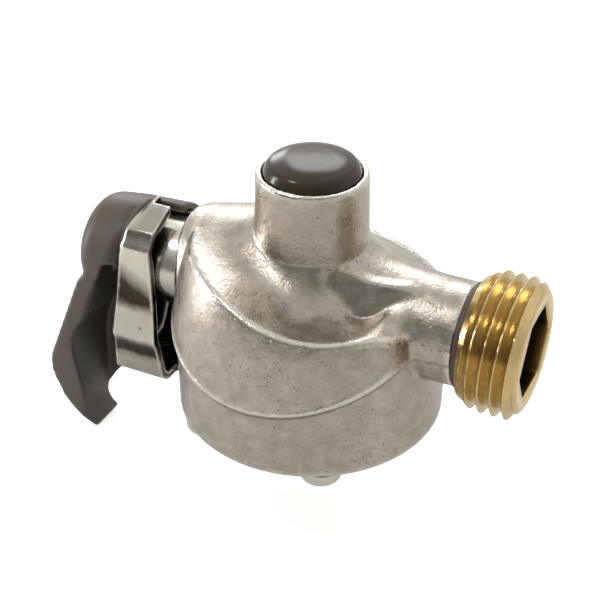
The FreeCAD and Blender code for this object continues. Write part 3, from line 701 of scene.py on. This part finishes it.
def return_spring():
    """Spring under the cap, as a smooth-shaded copy of its own that rides on the spring's body."""
    piece = placed("return_spring", merged_copy("plunger_spring"))
    piece.data.shade_smooth()
    dress(piece, "plunger_spring")
    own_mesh(piece)
    return piece


SKIRT_R = 21.6
WEB_NORMAL = np.array([0.235, -0.877, 0.417])
WEB_REACH = 19.22


def before_web(x, y, z):
    """How far a point lies outside the web's faces, 0.235 x + 0.877 |y| + 0.417 z = 19.22."""
    return WEB_NORMAL[0] * x - WEB_NORMAL[1] * np.abs(y) + WEB_NORMAL[2] * z - WEB_REACH


def ridge_at(x):
    """Height and radius of the shoulder's ridge: the skirt's radius less an inset that grows upwards."""
    crest_z = np.interp(x, (-13.5, -11.0, -6.4, -1.5, 3.2, 7.3, 10.6, 14.5, 16.7, 18.2),
                        (29.3, 28.9, 27.9, 26.4, 25.2, 24.5, 24.2, 24.1, 23.6, 22.8))
    crest_r = SKIRT_R - np.interp(crest_z, (21.5, 30.6), (0.3, 3.55))
    return crest_z, crest_r


def soften_roof(mesh, front, crest_r):
    """Draws the roof behind the ridge, between boss, chimney and web, into one soft hollow."""
    x, y, z = read_points(mesh).T
    radius = np.hypot(x, y)
    roof = smooth_step(crest_r - radius, 0.5, 1.8) * smooth_step(radius, 9.1, 10.0) * front
    roof *= smooth_step(x, -19.5, -16.0) * smooth_step(z, 18.5, 20.0)
    roof *= np.maximum(smooth_step(before_web(x, y, z), 0.0, 0.7), x < 0)
    relax(mesh, 0.8 * roof, 220)


def sink_roof(spots, inward):
    """Sinks the roof most at the web's foot, and puts what falls behind the web's face back on it."""
    x, y, z = spots.T
    ahead = before_web(x, y, z)
    joint_z = np.interp(x, (3.0, 7.4, 11.75, 14.0), (28.5, 27.3, 24.2, 24.1))
    sink = 1.5 * inward / (inward + np.maximum(ahead, 0) + 0.01)
    sink *= smooth_step(x, 1.5, 6.5) * (1 - smooth_step(x, 12.5, 16.0))
    sink *= smooth_step(np.hypot(x, y), 9.0, 10.5) * (1 - smooth_step(z - joint_z, 0.3, 3.0))
    sink *= (ahead > -0.3) * (y < 0) * (z > 18.5)
    spots[:, 2] -= sink
    ahead = before_web(*spots.T)
    back = np.where((sink > 0.02) & (ahead < 0), -ahead, 0.0)
    spots += back[:, None] * WEB_NORMAL


def flatten_web(spots):
    """Presses the web's front on to its plane, between the chimney, the boss and its upper edge."""
    x, y, z = spots.T
    ahead = before_web(x, y, z)
    top_z = np.interp(x, (3.1, 7.8, 11.3, 17.5, 19.6), (30.3, 29.9, 28.5, 28.0, 27.4))
    facet = smooth_step(z - 29.05 + 0.734 * (x - 3.1), -0.1, 0.3)
    facet *= smooth_step(z - 22.7 - 0.599 * (x - 11.75), -0.1, 0.3)
    facet *= smooth_step(top_z - z, 0.0, 0.8) * smooth_step(x, 4.8, 6.8)
    facet *= (np.abs(ahead) < 1.5) * (y < -2) * (np.hypot(x, y) > 9.1)
    spots -= (facet * ahead)[:, None] * WEB_NORMAL


def soften_borders(mesh, inward, front, crest_z):
    """Evens out the web's face and the ridge, where the grid left small steps."""
    x, y, z = read_points(mesh).T
    near_web = (x > 2.5) * (x < 20.5) * (y < -2) * (z > 21.5) * (z < 31) * (np.hypot(x, y) > 9.3)
    near_web *= np.abs(before_web(x, y, z)) < 2.5
    near_ridge = (inward < 1.2) * (np.abs(z - crest_z) < 1.4) * front
    relax(mesh, 0.45 * np.maximum(near_web, near_ridge), 9)


def raise_lip(spots, front):
    """Moves the wall out along the parting face, z = 21.4 + 0.066 x - 0.467 |y|.

    It gives back how near each point lies to the lip and to the line under it, from 0 to 1; these later get
    a painted highlight and a painted shadow.
    """
    x, y, z = spots.T
    radius = np.hypot(x, y)
    over = z - (21.4 + 0.066 * x - 0.467 * np.abs(y))
    wall = smooth_step(radius, 20.2, 20.9) * front * (z > 2.0)
    right = smooth_step(x, 8.0, 18.0)
    lip = wall * np.exp(-((over - 0.65 - 0.3 * right) / (0.5 + 0.4 * right)) ** 2)
    lip *= 1 - smooth_step(x, 17.0, 19.5)
    # The line under the lip, where a shadow is painted.
    under = wall * np.exp(-((over + 0.45) / 0.35) ** 2)
    spots[:, :2] *= (1 + 0.3 * lip / np.maximum(radius, 1))[:, None]
    return lip, under


def cast_body():
    """Die casting: a hollow roof behind the ridge, a crisp web face and a raised parting lip, with painted
    highlights along the ridge and the lip and a painted shadow line under the lip.
    """
    piece = rounded_piece("cast_body", "body_casting", 0.33, 9, 0.02, 8)
    mesh = piece.data
    x, y, _ = read_points(mesh).T
    front = 1 - smooth_step(y, 0.0, 5.0)
    crest_z, crest_r = ridge_at(x)
    soften_roof(mesh, front, crest_r)

    spots = read_points(mesh)
    inward = np.maximum(crest_r - np.hypot(spots[:, 0], spots[:, 1]), 0)
    sink_roof(spots, inward)
    flatten_web(spots)
    write_points(mesh, spots)
    soften_borders(mesh, inward, front, crest_z)

    spots = read_points(mesh)
    x, y, z = spots.T
    # A band along the ridge that gets a painted highlight.
    ridge = np.exp(-(inward / 0.55) ** 2) * smooth_step(-np.abs(z - crest_z), -1.3, -0.5)
    ridge *= front * (crest_r > np.hypot(x, y) - 0.8)
    lip, under = raise_lip(spots, front)
    write_points(mesh, spots)

    edge = np.zeros(len(spots))
    layer = mesh.attributes["edge"].data
    layer.foreach_get("value", edge)
    # Painted light: the edge attribute is raised along the ridge and the lip for highlights, and lowered
    # under the lip for a shadow line.
    edge = np.clip(np.maximum(edge, 1.1 * ridge) + 0.9 * lip - 1.25 * under, -1, 1)
    layer.foreach_set("value", edge.astype(np.float32))
    return thinned(piece)


def lever_grip():
    """Handle with its rear wall carried out to the blade, and carried down round the bracket's foot as a
    dark sheet put where there is only shade.

    The blade narrows downwards: half its width is 8.6 - 0.1317 (16.7 - z). The bracket's plate
    leans: its outer face is at x = plate_x + 0.15 (z - axis_z).
    """
    lean = 0.15
    foot_z = -1.8
    plate_x = box_of("lever_bracket")[0][0] + lean * (AXIS_Z - foot_z)

    def half_width(z):
        return min(8.6, 8.6 - 0.1317 * (16.7 - z))

    def plate_at(z):
        return plate_x + lean * (z - AXIS_Z)

    side = [(-44.0, -15.4), (-43.3, -14.4), (-41.6, -11.7), (-40.5, -10.4), (-37.5, -6.0),
            (plate_at(-1.4) - 0.1, -1.4), (plate_at(7.5) - 0.1, 7.5), (plate_at(14.0) - 0.1, 14.0),
            (-35.5, 16.5), (-38.5, 10.0), (-42.0, 3.5), (-43.8, -2.0), (-43.9, -9.0)]
    wall = [[(x, half_width(z) - back, z) for x, z in side] for back in (1.5, 0.0)]
    section = [(1.6, -1.75), (4.0, -1.6), (5.9, -1.25), (7.4, 0.2), (8.6, 6.2), (9.15, 8.4), (9.15, 15.0),
               (8.25, 15.0), (7.95, 8.6), (7.35, 6.8), (6.2, 1.2), (5.3, 0.0), (4.0, -0.4), (1.6, -0.5)]
    # A dark sheet of the handle's plastic within the bracket's foot, put where there is only shade.
    shade_sheet = [[(plate_at(z) + 1.62, y, z) for y, z in section], [(-23.6, y, z) for y, z in section]]
    piece = rounded_piece("lever_grip", "lever_handle", 0.27, 6, 0.03, 4, (wall, shade_sheet))
    mesh = piece.data
    tip = 1 - smooth_step(read_points(mesh)[:, 2], -15.5, -12.5)
    relax(mesh, 0.35 + 0.25 * tip, 10)
    relax(mesh, 0.6 * tip, 16)

    spots = read_points(mesh)
    x, y, z = spots.T
    crease_x = np.interp(z, (9.9, 13.7, 17.4, 20.4, 23.3, 24.8, 26.7),
                         (-37.6, -35.9, -33.8, -32.4, -31.1, -30.6, -30.5))
    flank = smooth_step(x - crease_x, -1.6, 0.8) * (y < -2) * smooth_step(z, 9.0, 12.0) * (x < -30.4)
    spots[:, 1] += 0.5 * flank
    write_points(mesh, spots)

    # Painted shade: the blade's face towards the body, the hub's flank and the space behind the bracket.
    facing = read_normals(mesh)[:, 0]
    blade = smooth_step(facing, 0.25, 0.6) * (z < 27) * smooth_step(z, -17.0, -8.0) * (x < -30.6)
    behind = 0.8 * (x > -31.5) * (y > 1.4) * (z < 19)
    shade_share = np.maximum(np.maximum(blade, 0.85 * flank), behind)
    store_values(mesh, "painted_shade", np.clip(shade_share, 0, 1))
    return piece


def pressed_bracket():
    """Plated stamping: its crown is shaved a little, and its skin carries painted dark reflections and
    painted shade in soft stripes.

    On the side wall the painted darkness is read at each point's height from the pairs of height and
    darkness. The heights slant near the axis and sway a little. Elsewhere it is one value of painted
    shade, more where the sheet faces the casting or the back.
    """
    painted_reflection_and_shade = ((-2.0, 0.5), (3.0, 0.4), (4.2, 0.6), (4.9, 1.0), (7.0, 1.0), (7.7, 0.6), (8.5, 0.2),
             (13.6, 0.25), (14.6, 0.75), (15.4, 1.0), (18.4, 0.97), (20.4, 0.5), (22.4, 0.05),
             (25.4, 0.0), (26.6, 0.35), (27.6, 0.72), (28.4, 0.42), (30.0, 0.3))
    piece = rounded_piece("pressed_bracket", "lever_bracket", 0.22, 3, 0.02)
    mesh = piece.data
    x, y, z = read_points(mesh).T
    relax(mesh, 0.6 * smooth_step(z, 23.0, 24.5) * (1 - smooth_step(z, 26.6, 27.8)) * (y < -5), 30)

    spots = read_points(mesh)
    x, y, z = spots.T
    spots[:, 2] -= 1.3 * smooth_step(z, 27.6, 30.7) * (1 - smooth_step(x, -29.0, -27.0))
    write_points(mesh, spots)

    # Painted dark reflections on the side wall, and painted shade elsewhere.
    slant = 0.6 * (x + 28.0) * smooth_step(z, 14.8, 17.5) * (1 - smooth_step(z, 23.0, 25.5))
    sway = 0.12 * np.sin(1.3 * x) + 0.08 * np.sin(3.1 * x + 1.3 * z)
    heights, darkness = zip(*painted_reflection_and_shade)
    on_wall = np.interp(z + slant + sway, heights, darkness)
    facing = read_normals(mesh)
    wall = smooth_step(-facing[:, 1], 0.45, 0.75)
    # Painted shade on faces turned to the casting or the back.
    turned_to_shade = smooth_step(np.maximum(facing[:, 0], facing[:, 1]), 0.3, 0.7) * (x > -33.0)
    elsewhere = 0.3 + 0.62 * turned_to_shade
    store_values(mesh, "painted_reflection_and_shade", on_wall * wall + elsewhere * (1 - wall))
    return piece


def pan_screws():
    """Cover screws whose pan heads are spread about their own centres, moved outwards and deepened."""
    circle_r = 17.3
    head_circle_r = 18.0
    spread = 1.15
    deeper = 1.35
    turn = np.radians((60.0, -60.0, 135.0, -135.0))
    centres = circle_r * np.stack([np.cos(turn), np.sin(turn)], 1)
    piece = rounded_piece("pan_screws", "cover_screws", 0.16, 3, 0.02)
    spots = read_points(piece.data)
    head = spots[:, 2] < 0.05
    nearest = centres[np.argmin(((spots[:, None, :2] - centres[None]) ** 2).sum(2), 1)]
    wide = nearest * (head_circle_r / circle_r) + spread * (spots[:, :2] - nearest)
    spots[:, :2] = np.where(head[:, None], wide, spots[:, :2])
    spots[:, 2] = np.where(head, deeper * spots[:, 2], spots[:, 2])
    write_points(piece.data, spots)
    return piece


cast_body()
lever_grip()
pressed_bracket()
pan_screws()
outlet_thread()
sealing_ring()
gland_bush()
dome_cap()
for node in ("retaining_plate", "lock_plate", "inlet_nozzle", "spindle", "plunger_stem",
             "push_pin", "lever_screw"):
    machined_piece(node, 0.12)
for node in ("lever_washer", "nozzle_seal", "gland_seal"):
    machined_piece(node, 0.06)
return_spring()
for node in ("plunger_oring", "spindle_orings", "lock_springs"):
    frame["nodes"][node].data.materials.clear()
    frame["nodes"][node].data.materials.append(FINISH[SLOT_OF[node]])


# Floor, light and camera

def pale_floor():
    """Wide plane just under the lever's tip: white to the eye where nothing shades it."""
    size = 3.0
    z = cad_box[0][2] - 0.2 * MM
    corners = [(-size, -size, z), (size, -size, z), (size, size, z), (-size, size, z)]
    mesh = bpy.data.meshes.new("pale_floor")
    mesh.from_pydata(corners, [], [(0, 1, 2, 3)])
    floor = placed("pale_floor", mesh)
    material = bpy.data.materials.new("pale_floor")
    material.use_nodes = True
    tree = material.node_tree
    shader = tree.nodes["Principled BSDF"]
    shader.inputs["Base Color"].default_value = (0.80, 0.79, 0.78, 1)
    shader.inputs["Roughness"].default_value = 0.9
    glow = tree.nodes.new("ShaderNodeEmission")
    glow.inputs["Color"].default_value = (1, 1, 1, 1)
    both = tree.nodes.new("ShaderNodeAddShader")
    path = tree.nodes.new("ShaderNodeLightPath")
    seen = math_node(tree, "MULTIPLY", path.outputs["Is Camera Ray"], 0.55)
    tree.links.new(seen, glow.inputs["Strength"])
    tree.links.new(shader.outputs[0], both.inputs[0])
    tree.links.new(glow.outputs[0], both.inputs[1])
    tree.links.new(both.outputs[0], tree.nodes["Material Output"].inputs["Surface"])
    floor.data.materials.append(material)


def lamp(name, place, aim, size, power, size_y=None):
    """White area light at its place in metres, turned to its aim."""
    data = bpy.data.lights.new(name, "AREA")
    data.energy = power
    data.size = size
    if size_y is not None:
        data.shape = "RECTANGLE"
        data.size_y = size_y
    piece = placed(name, data)
    piece.location = Vector(place)
    piece.rotation_euler = (Vector(aim) - Vector(place)).to_track_quat("-Z", "Y").to_euler()
    return piece


def backdrop_world():
    """A white cove: white to the eye, bright behind and above, dim on the photographer's side."""
    world = bpy.data.worlds.new("backdrop")
    bpy.context.scene.world = world
    world.use_nodes = True
    tree = world.node_tree
    shader = tree.nodes["Background"]
    way = tree.nodes.new("ShaderNodeSeparateXYZ")
    tree.links.new(tree.nodes.new("ShaderNodeTexCoord").outputs["Generated"], way.inputs[0])
    behind = ramp(tree, way.outputs["Y"], -0.75, 0.45)
    above = ramp(tree, way.outputs["Z"], 0.35, 0.95)
    lit = math_node(tree, "MAXIMUM", behind, math_node(tree, "MULTIPLY", above, 0.8))
    cove = mix_colour(tree, lit, (0.24, 0.235, 0.225, 1), (0.96, 0.95, 0.93, 1))
    path = tree.nodes.new("ShaderNodeLightPath")
    seen = math_node(tree, "MAXIMUM", path.outputs["Is Camera Ray"], path.outputs["Is Transmission Ray"])
    tree.links.new(mix_colour(tree, seen, cove, (1, 1, 1, 1)), shader.inputs["Color"])
    shader.inputs["Strength"].default_value = 1.0


def camera():
    """The photograph's view: 25.67 degrees round and 33.56 degrees up, 206.78 mm from its target."""
    around = math.radians(25.67)
    up = math.radians(33.56)
    distance_mm = 206.78
    back = Vector((math.sin(around) * math.cos(up), -math.cos(around) * math.cos(up), math.sin(up)))
    target = Vector((-2.05, 0, 17.84)) * MM
    data = bpy.data.cameras.new("view")
    data.lens = 78.0
    data.sensor_width = 36.0
    data.clip_start = 0.005
    piece = placed("view", data)
    piece.location = target + back * distance_mm * MM
    piece.rotation_euler = back.to_track_quat("Z", "Y").to_euler()
    bpy.context.scene.camera = piece


pale_floor()
lamp("key", (-0.22, -0.22, 0.50), (0, 0, 0.02), 0.07, 0.55)
lamp("side_strip", (-0.43, -0.13, 0.10), (0, 0, 0.02), 0.025, 1.0, size_y=0.3)
lamp("top", (-0.15, 0.40, 0.36), (0, 0, 0.03), 0.22, 0.6)
lamp("back_window", (-0.35, 0.42, 0.22), (0, 0, 0.03), 0.12, 0.3)
backdrop_world()
camera()
bpy.context.scene.view_settings.view_transform = "Standard"
